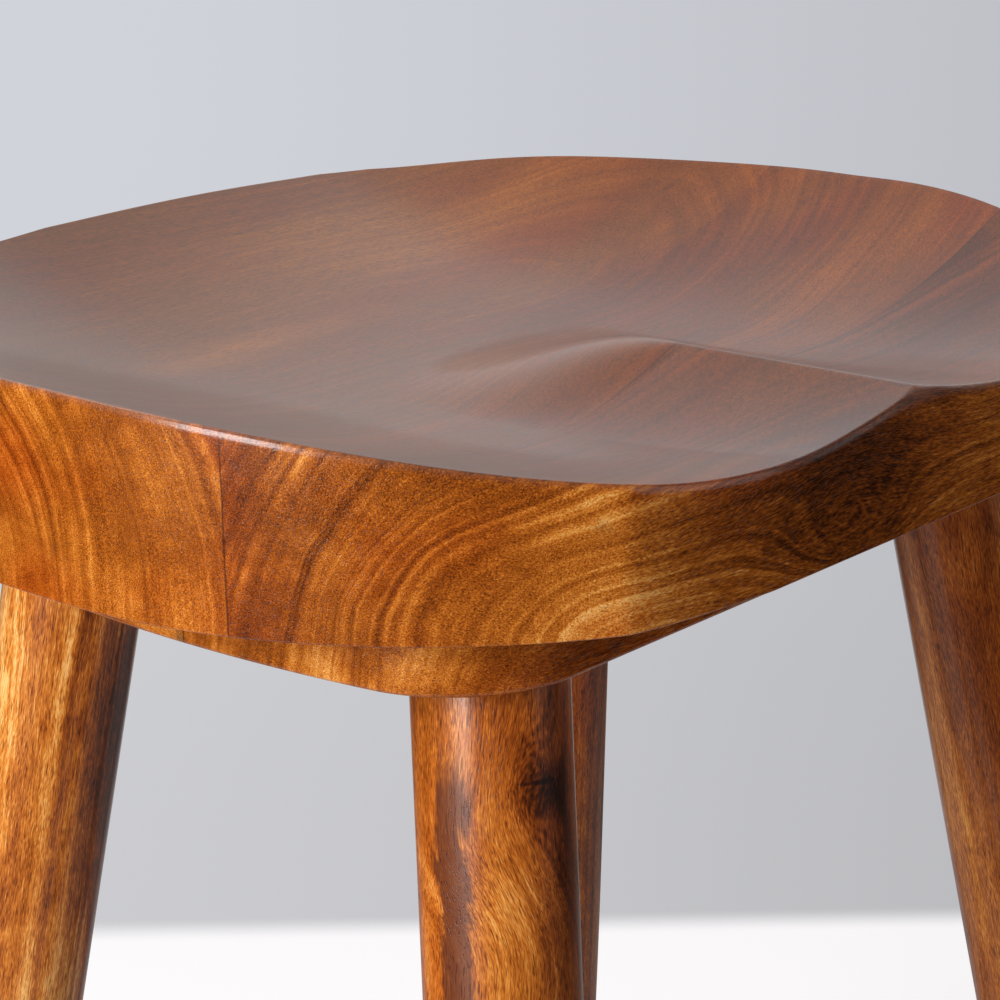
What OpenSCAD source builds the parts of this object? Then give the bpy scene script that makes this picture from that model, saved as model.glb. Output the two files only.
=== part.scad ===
// Bar stool in solid wood: a carved saddle seat of glued boards on a plate, four splayed turned legs and four rails.
// Millimetres. X runs from side to side and Y from front to back, with the pommel at the front, towards -Y.
// The origin is on the floor, midway between the feet.

/* [Seat outline] */
// Width of the seat, side to side
seat_w = 446; // [430:1:470]
// Depth of the seat, front to back
seat_d = 346; // [338:1:352]
// Distance of the seat's middle behind the middle of the legs
seat_shift = 6; // [0:1:12]
// Radius of the bowed ends beyond half the seat's depth
end_over = 5; // [2:1:20]
// Straight stretch in the middle of each end
end_flat = 24; // [18:1:36]
// Wood taken off each front corner, sideways
front_ease = 40; // [20:1:50]
// Depth of that easing, measured in from the front edge
front_ease_depth = 10.5; // [6:0.5:16]
// Wood taken off each back corner, sideways
back_ease = 33; // [20:1:40]
// Depth of that easing, measured in from the back edge
back_ease_depth = 110; // [90:1:130]
// Bevel along the rim
rim_bevel = 1.5; // [0.5:0.1:2.5]

/* [Seat carving] */
// Wood left under the lowest point of the hollow
floor_t = 28.5; // [24:0.5:32]
// Rise from the hollow to the front edge
front_rise = 10.5; // [6:0.5:14]
// Rise from the hollow to the back edge
back_rise = 41.8; // [30:0.1:50]
// Rise from the hollow to the ends
side_rise = 38.5; // [30:0.5:50]
// Extra rise in the middle of the back edge
back_crown = 2.3; // [0:0.1:5]
// Distance from the middle at which the hollow begins to rise to the ends
thigh_x = 85; // [70:1:100]
// Height of the pommel above the lowest point of the hollow
pommel_rise = 20; // [16:0.5:26]
// Half width of the pommel's ridge
pommel_w = 61; // [50:1:69]
// Distance behind the front edge over which the pommel keeps its full height
pommel_l = 108; // [80:1:130]
// Distance over which the pommel then fades into the hollow
pommel_fade = 102; // [70:1:130]
// Height of the bevel that takes the point off the pommel
pommel_bevel = 4; // [2:0.5:7]

/* [Seat boards] */
// Width of the front board
front_board_w = 99; // [90:1:110]
// Width of the middle board
middle_board_w = 118; // [105:1:130]

/* [Plate] */
// Width of the plate under the seat
plate_w = 368; // [356:1:390]
// Depth of the plate
plate_d = 260; // [250:1:280]
// Thickness of the plate
plate_t = 22; // [18:1:26]
// Radius of the plate's corners
plate_corner_r = 48; // [36:1:60]
// Radius of the plate's gently bowed ends
plate_bow_r = 560; // [450:10:1200]
// Width of the plate's front board
plate_board_w = 114; // [100:1:160]

/* [Legs] */
// Height of the plate's underside above the floor
under_h = 665; // [560:1:700]
// Distance between the leg tops, side to side
leg_span_x = 262; // [250:1:270]
// Distance between the leg tops, front to back
leg_span_y = 193; // [185:1:200]
// Sideways splay of the legs in degrees
splay_x = 7.5; // [4:0.1:9]
// Splay of the legs to the front and back in degrees
splay_y = 8.5; // [4:0.1:10]
// Diameter of the upper leg
leg_d = 50; // [44:1:54]
// Diameter of the leg at the floor
foot_d = 38; // [32:1:42]
// Length of the upper leg that keeps its full diameter
leg_straight_l = 260; // [150:1:320]
// Diameter of the tenon on top of the leg
tenon_d = 30; // [24:1:34]
// Thickness of the tenon's wedge at its thick end
wedge_t = 4; // [3:0.1:5]
// Depth of the wedge
wedge_l = 16; // [12:1:17]

/* [Rails] */
// Height of the front and back rails above the floor
low_rail_h = 225; // [180:1:240]
// Height of the side rails above the floor
high_rail_h = 290; // [280:1:330]
// Diameter of a rail in its middle
rail_d = 30; // [28:1:36]
// Diameter of the tenon at each end of a rail
rail_tenon_d = 20; // [16:1:22]
// Diameter at each end of a rail, where it meets the leg
rail_end_d = 23; // [22:1:27]

/* [Fixings] */
// Diameter of the screws between plate and seat
screw_d = 4.5; // [4:0.1:5]
// Diameter of the countersunk screw head
screw_head_d = 9; // [8:0.1:10]
// Length of the screws
screw_l = 38; // [32:1:42]
// Distance of the corner screws from the middle, sideways
screw_x = 62; // [50:1:80]
// Distance of the corner screws from the middle, to the front and back
screw_y = 105; // [95:1:112]
// Distance of the end screws from the middle, sideways
end_screw_x = 150; // [130:1:160]
// Distance of the end screws behind the middle
end_screw_y = 10; // [0:1:25]
// Diameter of a foot glide
glide_d = 32; // [26:1:34]
// Thickness of a foot glide
glide_t = 5; // [4:0.5:8]
// Diameter of the nail that holds a glide
nail_d = 3; // [2:0.1:4]
// Length of that nail above its head
nail_l = 20; // [14:1:26]
// Diameter of the nail's head
nail_head_d = 9; // [7:0.5:12]
// Play around each glued tenon and each screw or nail in its hole
fit = 0.1; // [0.05:0.01:0.2]

/* [Hidden] */
$fn = 72;

// Powers that shape the carving: its rise to the front and back, its rise to the ends, and the pommel's sides
lip_power = 2.5;
flare_power = 1.7;
pommel_power = 1.4;
// Powers of the easing at the corners: the front ones turn over a short stretch, the back ones in a long curve
front_ease_power = 2;
back_ease_power = 6.4;
// Half width over which the fading pommel is rounded off
pommel_round = 38;
// Columns of the carved surface on each side of the middle, and rows per board
columns = 20;
front_rows = 11;
middle_rows = 8;
back_rows = 12;
// Segments of the turned profiles
turn_steps = 10;
// Depth of a nail head and of its recess
nail_head_t = 1.5;
nail_recess = 2.5;
// Thickness of the wedge at its thin end
wedge_tip = 1;
// Depth of a rail socket beyond the middle of the leg
socket_past = 3;
// Room between a rail's shoulder and the fullest part of the leg
shoulder_gap = 0.5;

seat_z = under_h + plate_t;
front_y = seat_shift - seat_d / 2;
back_y = seat_shift + seat_d / 2;
end_r = seat_d / 2 + end_over;
end_x = seat_w / 2 - end_r;
inner_d = seat_d / 2 - rim_bevel;
joint_1_y = front_y + front_board_w;
joint_2_y = joint_1_y + middle_board_w;

// Sides of the stool, used to name and place what comes in fours
LEFT = -1;
RIGHT = 1;
FRONT = -1;
BACK = 1;
CORNERS = [[LEFT, FRONT], [RIGHT, FRONT], [LEFT, BACK], [RIGHT, BACK]];
SCREWS = concat(
    [for (c = CORNERS) [c[0] * screw_x, c[1] * screw_y]],
    [for (side = [LEFT, RIGHT]) [side * end_screw_x, end_screw_y]]
);

// Half width of the seat at depth y: two arcs with a flat between them, eased at the corners
function past_flat(y) = max(0, abs(y - seat_shift) - end_flat / 2);
function edge_gap(y) = seat_d / 2 - abs(y - seat_shift);
function eased(most, depth, power, y) = most * pow(max(0, 1 - edge_gap(y) / depth), power);
function ease(y) = y < seat_shift
    ? eased(front_ease, front_ease_depth, front_ease_power, y)
    : eased(back_ease, back_ease_depth, back_ease_power, y);
function half_w(y) = end_x + sqrt(pow(end_r, 2) - pow(past_flat(y), 2)) - ease(y);

// Height of the hollow's floor at depth y, and its rise towards the ends
function lip(y) = y < 0 ? front_rise * pow(y / front_y, lip_power) : back_rise * pow(y / back_y, lip_power);
function flare(x) = side_rise * pow(max(0, abs(x) - thigh_x) / (seat_w / 2 - thigh_x), flare_power);
function crown(x, y) = back_crown * pow(max(0, y) / back_y, 2) * max(0, 1 - pow(x / thigh_x, 2));

// The pommel stands level with its tip, then fades, and its crease rounds off as it fades
function faded(y) = min(1, max(0, (y - front_y - pommel_l) / pommel_fade));
function pommel(y) = max(0, pommel_rise - lip(min(y, 0))) * (1 + cos(180 * faded(y))) / 2;
function round_at(y) = pommel_round * sin(90 * min(1, 2.5 * faded(y)));
function soft(x, r) = sqrt(x * x + r * r) - r;
function across(x, r) = min(1, soft(x, r) / soft(pommel_w, r));
function ridge(x, y) = pommel(y) * pow(1 - across(x, round_at(y)), pommel_power);

// Height of the carved surface above the seat's underside, with the bevel that cuts the pommel's tip
function carved(x, y) = floor_t + min(
    lip(y) + flare(x) + ridge(x, y) + crown(x, y),
    pommel_rise - pommel_bevel + flare(x) + max(0, y - front_y)
);

// Columns lie closer together towards the middle, where the pommel has its crease
function column(j) = j / columns * (1 + abs(j) / columns) / 2;

// One row across the seat: underside corner, bevelled edge, carved top, bevelled edge, underside corner
function row(y, drop) = let (w = half_w(y), inner = w - rim_bevel) concat(
    [[-w, y, 0], [-w, y, carved(w, y) - rim_bevel]],
    [for (j = [-columns:columns]) let (x = inner * column(j)) [x, y, carved(x, y) - drop]],
    [[w, y, carved(w, y) - rim_bevel], [w, y, 0]]
);

// Rows lie closer together towards the front and back edges, where the outline turns
function row_y(a) = seat_shift + inner_d * sin(a);
function row_a(y) = asin((y - seat_shift) / inner_d);
function rows_between(a0, a1, n) = [for (i = [0:n]) row(row_y(a0 + (a1 - a0) * i / n), 0)];

// Number of the underside point below point k of an end row that starts at point r, where its feet start at point f
function foot(k, n, r, f) = k < 2 ? r : k > n - 3 ? r + n - 1 : f + k - 2;

// A board is the skin over its rows. Its long edges are upright strips under the columns, and its underside is
// strips from one long edge to the other, with a bowed piece at each end
module board(rows) {
    n = len(rows[0]);
    last = len(rows) - 1;
    feet = [for (end = [rows[0], rows[last]]) for (k = [2:n - 3]) [end[k][0], end[k][1], 0]];
    front = [for (k = [0:n - 1]) foot(k, n, 0, (last + 1) * n)];
    back = [for (k = [0:n - 1]) foot(k, n, last * n, (last + 2) * n - 4)];
    skin = [
        for (i = [0:last - 1]) for (k = [0:n - 2]) let (a = i * n + k, b = a + 1)
            for (face = [[a, b + n, b], [a, a + n, b + n]]) face
    ];
    front_edge = [for (k = [1:n - 3]) [front[k], k, k + 1, front[k + 1]]];
    back_edge = [for (k = [1:n - 3]) [back[k + 1], last * n + k + 1, last * n + k, back[k]]];
    underside = [for (k = [2:n - 4]) [front[k], front[k + 1], back[k + 1], back[k]]];
    left_end = concat([0, front[2], back[2]], [for (i = [last:-1:1]) i * n]);
    right_end = concat([for (i = [1:last + 1]) i * n - 1], [back[n - 3], front[n - 3]]);
    polyhedron(
        concat([for (r = rows) each r], feet),
        concat(skin, front_edge, back_edge, underside, [left_end, right_end]),
        convexity = 8
    );
}

module seat_board(rows) {
    translate([0, 0, seat_z]) difference() {
        board(rows);
        for (s = SCREWS)
            translate([s[0], s[1], -1]) cylinder(d = screw_d + 2 * fit, h = 1 + screw_l - plate_t + fit);
    }
}

module seat_board_front() {
    rows = concat([row(front_y, rim_bevel)], rows_between(-90, row_a(joint_1_y), front_rows));
    color("sienna") seat_board(rows);
}

module seat_board_middle() {
    color("peru") seat_board(rows_between(row_a(joint_1_y), row_a(joint_2_y), middle_rows));
}

module seat_board_back() {
    rows = concat(rows_between(row_a(joint_2_y), 90, back_rows), [row(back_y, rim_bevel)]);
    color("sienna") seat_board(rows);
}

// Outline of the plate: bowed ends that run into round corners, and a straight front and back
module plate_form() {
    corner_y = plate_d / 2 - plate_corner_r;
    bow_x = plate_w / 2 - plate_bow_r;
    corner_x = bow_x + sqrt(pow(plate_bow_r - plate_corner_r, 2) - pow(corner_y, 2));
    tangent_y = corner_y * plate_bow_r / (plate_bow_r - plate_corner_r);
    intersection() {
        translate([-plate_w / 2, -tangent_y, 0]) cube([plate_w, 2 * tangent_y, plate_t]);
        translate([bow_x, 0, 0]) cylinder(r = plate_bow_r, h = plate_t, $fn = 240);
        translate([-bow_x, 0, 0]) cylinder(r = plate_bow_r, h = plate_t, $fn = 240);
    }
    translate([-corner_x, -plate_d / 2, 0]) cube([2 * corner_x, plate_d, plate_t]);
    for (c = CORNERS) translate([c[0] * corner_x, c[1] * corner_y, 0]) cylinder(r = plate_corner_r, h = plate_t);
}

// Centre of a leg at height z
function leg_at(c, z) = [
    c[0] * (leg_span_x / 2 + (under_h - z) * tan(splay_x)),
    c[1] * (leg_span_y / 2 + (under_h - z) * tan(splay_y)),
    z
];

// Puts what is drawn downwards from the origin along a leg's axis
module along_leg(c) {
    down = [c[0] * tan(splay_x), c[1] * tan(splay_y)];
    translate(leg_at(c, under_h)) rotate([0, -atan(norm(down)), atan2(down[1], down[0])]) children();
}

module tenon(c, d) {
    along_leg(c) translate([0, 0, -leg_d]) cylinder(d = d, h = leg_d + 2 * plate_t);
}

// A board of the plate, with holes for the leg tenons and for the countersunk screws
module plate_board(y0, y1) {
    difference() {
        intersection() {
            translate([0, 0, under_h]) plate_form();
            translate([-plate_w, y0, under_h - plate_t]) cube([2 * plate_w, y1 - y0, 3 * plate_t]);
        }
        for (c = CORNERS) tenon(c, tenon_d + 2 * fit);
        for (s = SCREWS) translate([s[0], s[1], under_h]) screw(fit);
    }
}

module plate_board_front() {
    color("saddlebrown") plate_board(-plate_d / 2, -plate_d / 2 + plate_board_w);
}

module plate_board_back() {
    color("peru") plate_board(-plate_d / 2 + plate_board_w, plate_d / 2);
}

// A countersunk screw with its head flush with the plate's underside, point upwards
module screw(play) {
    r = screw_d / 2 + play;
    head_r = screw_head_d / 2 + play;
    tip = play > 0 ? screw_l + plate_t : screw_l;
    rotate_extrude() polygon([
        [0, -play], [head_r, -play], [r, head_r - r - play], [r, tip - r], [play > 0 ? r : 0.4, tip], [0, tip]
    ]);
}

// The leg's half profile below the plate: straight, then tapering with a gentle swell
module leg_profile() {
    drop = norm([tan(splay_x), tan(splay_y), 1]);
    full_l = (under_h + leg_d) * drop;
    taper_l = full_l - leg_straight_l;
    polygon(concat(
        [[0, leg_d], [leg_d / 2, leg_d]],
        [for (i = [0:turn_steps]) let (t = i / turn_steps)
            [leg_d / 2 - (leg_d - foot_d) / 2 * pow(t, 1.4), -leg_straight_l - taper_l * t]],
        [[0, -full_l]]
    ));
}

// A turned leg: cut level under the plate and above its glide, with tenon, wedge slot and rail sockets
module leg(c) {
    difference() {
        union() {
            intersection() {
                along_leg(c) rotate(30) rotate_extrude() leg_profile();
                translate([-under_h, -under_h, glide_t]) cube([2 * under_h, 2 * under_h, under_h - glide_t]);
            }
            intersection() {
                tenon(c, tenon_d);
                translate([-under_h, -under_h, under_h - leg_d / 2])
                    cube([2 * under_h, 2 * under_h, plate_t + leg_d / 2]);
            }
        }
        wedge(c, 0);
        socket_x(c);
        socket_y(c);
        translate([0, 0, -fit]) nail(c, fit);
    }
}

// The wedge lies across the grain of the plate, so it is long in Y and spreads the tenon sideways
module wedge(c, play) {
    centre = leg_at(c, seat_z);
    thick = wedge_t / 2 - play;
    tip = wedge_tip / 2 - play;
    translate([centre[0], centre[1] + tenon_d, seat_z]) rotate([90, 0, 0]) linear_extrude(2 * tenon_d)
        polygon([[-thick, 0], [thick, 0], [tip, -wedge_l], [-tip, -wedge_l]]);
}

module leg_wedges() {
    color("tan") for (c = CORNERS) intersection() {
        wedge(c, fit / 2);
        tenon(c, tenon_d);
    }
}

// Sockets run from inside the leg towards its neighbour
module socket_x(c) {
    end = leg_at(c, low_rail_h);
    reach = leg_d;
    translate([end[0] + c[0] * (socket_past + fit), end[1], end[2]]) rotate([0, -c[0] * 90, 0])
        cylinder(d = rail_tenon_d + 2 * fit, h = reach);
}

module socket_y(c) {
    end = leg_at(c, high_rail_h);
    reach = leg_d;
    translate([end[0], end[1] + c[1] * (socket_past + fit), end[2]]) rotate([c[1] * 90, 0, 0])
        cylinder(d = rail_tenon_d + 2 * fit, h = reach);
}

// A turned rail along Z, middle at the origin: swelling in the middle and slim at the ends
module rail(length) {
    tenon_l = socket_past + leg_d / 2 + shoulder_gap;
    body_l = length / 2 - tenon_l;
    bulge = (rail_d - rail_end_d) / 2;
    half = [for (i = [0:turn_steps]) let (t = i / turn_steps) [rail_end_d / 2 + bulge * cos(90 * t), body_l * t]];
    rotate_extrude() polygon(concat(
        [[0, -length / 2], [rail_tenon_d / 2, -length / 2], [rail_tenon_d / 2, -body_l]],
        [for (i = [turn_steps:-1:1]) [half[i][0], -half[i][1]]],
        half,
        [[rail_tenon_d / 2, body_l], [rail_tenon_d / 2, length / 2], [0, length / 2]]
    ));
}

// Rails along X between two legs, and along Y between two legs
module rail_x(side) {
    end = leg_at([RIGHT, side], low_rail_h);
    color("chocolate") translate([0, end[1], end[2]]) rotate([0, 90, 0]) rail(2 * (end[0] + socket_past));
}

module rail_y(side) {
    end = leg_at([side, BACK], high_rail_h);
    color("chocolate") translate([end[0], 0, end[2]]) rotate([90, 0, 0]) rail(2 * (end[1] + socket_past));
}

// The glide is a turned disc with a chamfered lower edge and a recess for the nail's head
module glide(c) {
    foot = leg_at(c, glide_t);
    chamfer = glide_t / 3;
    color("dimgray") translate([foot[0], foot[1], 0]) difference() {
        rotate_extrude() polygon([
            [0, 0], [glide_d / 2 - chamfer, 0], [glide_d / 2, chamfer], [glide_d / 2, glide_t], [0, glide_t]
        ]);
        translate([0, 0, -1]) cylinder(d = nail_head_d + 2 * fit, h = 1 + nail_recess);
        cylinder(d = nail_d + 2 * fit, h = 3 * glide_t);
    }
}

// A flat-headed nail, its head up in the glide's recess
module nail(c, play) {
    foot = leg_at(c, glide_t);
    translate([foot[0], foot[1], nail_recess]) {
        translate([0, 0, -nail_head_t]) cylinder(d = nail_head_d, h = nail_head_t);
        cylinder(d = nail_d + 2 * play, h = nail_l + 2 * play);
    }
}

module glide_nails() {
    color("silver") for (c = CORNERS) nail(c, 0);
}

module seat_screws() {
    color("silver") for (s = SCREWS) translate([s[0], s[1], under_h]) screw(0);
}

seat_board_front();
seat_board_middle();
seat_board_back();
plate_board_front();
plate_board_back();
color("chocolate") leg([LEFT, FRONT]);  // leg_front_left
color("chocolate") leg([RIGHT, FRONT]);  // leg_front_right
color("chocolate") leg([LEFT, BACK]);  // leg_back_left
color("chocolate") leg([RIGHT, BACK]);  // leg_back_right
leg_wedges();
rail_x(FRONT);  // rail_front
rail_x(BACK);  // rail_back
rail_y(LEFT);  // rail_left
rail_y(RIGHT);  // rail_right
seat_screws();
glide([LEFT, FRONT]);  // glide_front_left
glide([RIGHT, FRONT]);  // glide_front_right
glide([LEFT, BACK]);  // glide_back_left
glide([RIGHT, BACK]);  // glide_back_right
glide_nails();
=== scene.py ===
# Bar stool in solid wood: a carved saddle seat on a plate, four splayed turned legs and turned foot rails.
# Lengths in the pieces' dictionaries are millimetres, and metres in those of the studio and the camera.
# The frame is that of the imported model: X to the right, Y to the back, Z up.
import math

import bpy
import numpy as np
from mathutils import Matrix


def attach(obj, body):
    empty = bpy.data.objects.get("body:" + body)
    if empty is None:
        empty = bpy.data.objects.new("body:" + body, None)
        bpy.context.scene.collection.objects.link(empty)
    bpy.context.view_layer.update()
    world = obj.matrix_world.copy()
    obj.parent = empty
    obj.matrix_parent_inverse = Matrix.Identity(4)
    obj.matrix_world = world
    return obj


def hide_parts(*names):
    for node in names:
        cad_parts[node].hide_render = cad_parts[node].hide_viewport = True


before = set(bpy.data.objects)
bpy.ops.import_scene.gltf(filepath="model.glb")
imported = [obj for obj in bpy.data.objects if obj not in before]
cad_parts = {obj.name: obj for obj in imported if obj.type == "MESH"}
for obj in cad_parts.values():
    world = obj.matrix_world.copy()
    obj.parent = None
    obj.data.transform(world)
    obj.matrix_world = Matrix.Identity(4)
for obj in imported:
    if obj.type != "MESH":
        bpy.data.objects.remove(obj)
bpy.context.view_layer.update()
print("frame loaded:", len(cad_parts), "nodes")

scene = bpy.context.scene
metres = 0.001


# Meshes

def gridQuads(rows, columns, first=0, closed=False):
    # four corners for each cell of a grid of points stored row by row, turning from one column to the next
    r, c = np.meshgrid(np.arange(rows - 1), np.arange(columns if closed else columns - 1), indexing="ij")
    nextColumn = (c + 1) % columns
    here, beyond = r * columns, (r + 1) * columns
    corners = [here + c, here + nextColumn, beyond + nextColumn, beyond + c]
    return first + np.stack(corners, -1).reshape(-1, 4)


def addPiece(name, points, faces, finish, nodes=(), sharpAngle=40, wall=None):
    # points are millimetres; faces is a list of arrays with one face in each row;
    # wall is 1 on a piece's walls and underside and 0 on its top
    mesh = bpy.data.meshes.new(name)
    polygons = [face for block in faces for face in np.asarray(block).tolist()]
    mesh.from_pydata((np.asarray(points, float) * metres).tolist(), [], polygons)
    mesh.shade_smooth()
    mesh.set_sharp_from_angle(angle=math.radians(sharpAngle))
    mesh.materials.append(finish)
    mesh.validate()
    if wall is not None:
        mesh.attributes.new("wall", "FLOAT", "POINT").data.foreach_set("value", np.asarray(wall, np.float32))
    piece = bpy.data.objects.new(name, mesh)
    scene.collection.objects.link(piece)
    if nodes:
        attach(piece, "root")
        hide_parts(*nodes)
    return piece


def edgeDrop(gap, radius, depth=None):
    # fall of a quarter-ellipse edge at a gap inside the outline: depth less the height of the ellipse there
    inside = np.clip(1 - gap / radius, 0, 1)
    return (depth or radius) * (1 - np.sqrt(1 - inside ** 2))


boardGrid = {"steepest": 12.0, "crowdPower": 1.5, "turnRows": 8, "turnStart": 0.15}


def slab(halfWidth, top, bottom, y, columns, upperRadius, lowerRadius, edges, crowd=0.35, upperDepth=None):
    # A board on rows of constant y: x runs over each row from edge to edge, crowded towards the middle
    # and over both round edges. Its top and bottom are heights over the same grid, less the rounding.
    # edges says at which y the outline ends, so that the rounding turns along the front or back as well.
    # The last result is 1 on the walls and the bottom, and falls to 0 over the rounding of the top.
    half = halfWidth(y)
    slope = np.abs(np.gradient(half, y))
    lean = np.sqrt(1 + np.minimum(slope, boardGrid["steepest"]) ** 2)
    t = np.linspace(-1, 1, columns)
    even = np.sign(t) * (crowd * np.abs(t) + (1 - crowd) * np.abs(t) ** boardGrid["crowdPower"])
    radius = max(upperRadius, lowerRadius)
    turn = radius * (1 - np.sin(np.linspace(math.pi / 2, boardGrid["turnStart"], boardGrid["turnRows"])))
    inner = half - radius * lean
    x = np.concatenate([
        -(half[:, None] - turn * lean[:, None]),
        inner[:, None] * even,
        (half[:, None] - turn[::-1] * lean[:, None]),
    ], axis=1)
    yy = np.broadcast_to(y[:, None], x.shape)
    gap = (half[:, None] - np.abs(x)) / lean[:, None]
    for edge in edges:
        gap = np.minimum(gap, np.abs(yy - edge))
    upper = top(x, yy) - edgeDrop(gap, upperRadius, upperDepth)
    lower = bottom + edgeDrop(gap, lowerRadius)
    rows, wide = x.shape
    points = np.concatenate([np.stack([x, yy, z], -1).reshape(-1, 3) for z in (upper, lower)])
    skin = gridQuads(rows, wide)
    under = gridQuads(rows, wide, rows * wide)[:, ::-1]
    index = np.arange(rows * wide).reshape(rows, wide)
    loop = np.concatenate([index[0, :], index[1:, -1], index[-1, -2::-1], index[-2:0:-1, 0]])
    following = np.roll(loop, -1)
    wall = np.stack([loop, loop + rows * wide, following + rows * wide, following], -1)
    marks = np.concatenate([np.clip(1 - gap / upperRadius, 0, 1).ravel(), np.ones(rows * wide)])
    return points, [skin, under, wall], marks


def ringStack(rings):
    # rings is rows by spokes by 3, from the upper end to the lower: there are quads between them
    # and a fan over each end
    rows, spokes, _ = rings.shape
    points = np.concatenate([rings.reshape(-1, 3), rings[:1].mean(1), rings[-1:].mean(1)])
    j = np.arange(spokes)
    following = (j + 1) % spokes
    body = gridQuads(rows, spokes, closed=True)[:, [0, 3, 2, 1]]
    lid = np.stack([np.full(spokes, rows * spokes), j, following], -1)
    last = (rows - 1) * spokes
    base = np.stack([np.full(spokes, rows * spokes + 1), last + following, last + j], -1)
    return points, [body, lid, base]


def turned(radii, heights, centre, axis, spokes):
    # a profile turned about an axis through centre: heights run down along the axis as radii change
    up = np.asarray(axis, float) / np.linalg.norm(axis)
    side = np.cross([0, 1, 0] if abs(up[1]) < 0.9 else [1, 0, 0], up)
    side = side / np.linalg.norm(side)
    angle = np.linspace(0, 2 * math.pi, spokes, endpoint=False)
    spoke = np.cos(angle)[:, None] * side + np.sin(angle)[:, None] * np.cross(up, side)
    rings = np.asarray(radii, float)[:, None, None] * spoke + np.asarray(heights, float)[:, None, None] * up
    return ringStack(rings + np.asarray(centre, float))


def joined(parts):
    # several closed solids as one set of points and faces
    points, faces, count = [], [], 0
    for partPoints, partFaces in parts:
        points.append(partPoints)
        faces += [block + count for block in partFaces]
        count += len(partPoints)
    return np.concatenate(points), faces


# Materials: arithmetic on a wire adds nodes to its material

class Wire:
    def __init__(self, tree, socket=None):
        self.tree, self.socket = tree, socket

    def node(self, kind, settings=None, values=None, out=0):
        # settings come first, such as an operation; values are numbers, colours or wires for the inputs
        made = self.tree.nodes.new(kind)
        for key, value in (settings or {}).items():
            if key == "stops":
                ramp = made.color_ramp.elements
                while len(ramp) < len(value):
                    ramp.new(0.5)
                for element, (position, colour) in zip(ramp, value):
                    element.position, element.color = position, (*colour, 1)
            else:
                setattr(made, key, value)
        for key, value in (values or {}).items():
            if isinstance(value, Wire):
                self.tree.links.new(value.socket, made.inputs[key])
            else:
                made.inputs[key].default_value = value
        return Wire(self.tree, made.outputs[out] if made.outputs else None)

    def math(self, operation, *values):
        return self.node("ShaderNodeMath", {"operation": operation}, dict(enumerate(values)))

    def __add__(self, other):
        return self.math("ADD", self, other)

    def __sub__(self, other):
        return self.math("SUBTRACT", self, other)

    def __mul__(self, other):
        return self.math("MULTIPLY", self, other)

    def __rsub__(self, other):
        return self.math("SUBTRACT", other, self)

    def __truediv__(self, other):
        return self.math("DIVIDE", self, other)

    __radd__, __rmul__ = __add__, __mul__

    def step(self, low, high):
        # 0 below low and 1 above high, with a smooth rise; the other way round where low is above high
        return self.node("ShaderNodeMapRange", {"interpolation_type": "SMOOTHSTEP"},
                         {"Value": self, "From Min": low, "From Max": high})

    def vector(self, operation, other, out=0):
        key = "Scale" if operation == "SCALE" else 1
        return self.node("ShaderNodeVectorMath", {"operation": operation}, {0: self, key: other}, out)

    def dot(self, other):
        return self.vector("DOT_PRODUCT", other, out="Value")

    def packed(self, *parts):
        return self.node("ShaderNodeCombineXYZ", None, dict(enumerate(parts)))

    def noise(self, size, detail, rough=0.5, out=0):
        # noise whose blobs are about size millimetres long along each axis
        place = self.vector("DIVIDE", size)
        return place.node("ShaderNodeTexNoise", None,
                          {"Vector": place, "Scale": 1.0, "Detail": detail, "Roughness": rough}, out)

    def bands(self, width, seed, detail, rough):
        # irregular bands about width millimetres wide along this value
        return self.node("ShaderNodeTexNoise", {"noise_dimensions": "1D"},
                         {"W": self / width + seed, "Scale": 1.0, "Detail": detail, "Roughness": rough})

    def blend(self, first, second, how="MIX"):
        # this value is the share of the second colour
        first, second = (part if isinstance(part, Wire) else (*part, 1) for part in (first, second))
        return self.node("ShaderNodeMix", {"data_type": "RGBA", "blend_type": how},
                         {0: self, 6: first, 7: second}, 2)

    def nearness(self, spot):
        # 1 at the middle of a spot and falling as a bell curve over its reach along X, Y and Z
        away = self.vector("SUBTRACT", spot["at"]).vector("DIVIDE", spot["size"])
        return self.math("POWER", math.e, away.dot(away) * -1.0)


def rgb(red, green, blue):
    # a colour as written in a picture, made linear for the shader
    return tuple(c / 12.92 if c <= 0.04045 else ((c + 0.055) / 1.055) ** 2.4 for c in (red, green, blue))


def newMaterial(name):
    # an empty material with its shader, and the place on the piece in millimetres
    material = bpy.data.materials.new(name)
    material.use_nodes = True
    tree = material.node_tree
    tree.nodes.clear()
    shader = tree.nodes.new("ShaderNodeBsdfPrincipled")
    output = tree.nodes.new("ShaderNodeOutputMaterial")
    tree.links.new(shader.outputs[0], output.inputs[0])
    place = Wire(tree).node("ShaderNodeTexCoord", out="Object").vector("SCALE", 1.0 / metres)
    return material, shader, place


def feed(shader, colour, rough, bump, bumpDepth):
    raised = bump.node("ShaderNodeBump", None, {"Height": bump, "Strength": 1.0, "Distance": bumpDepth})
    for wire, socket in ((colour, "Base Color"), (rough, "Roughness"), (raised, "Normal")):
        shader.id_data.links.new(wire.socket, shader.inputs[socket])


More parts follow.
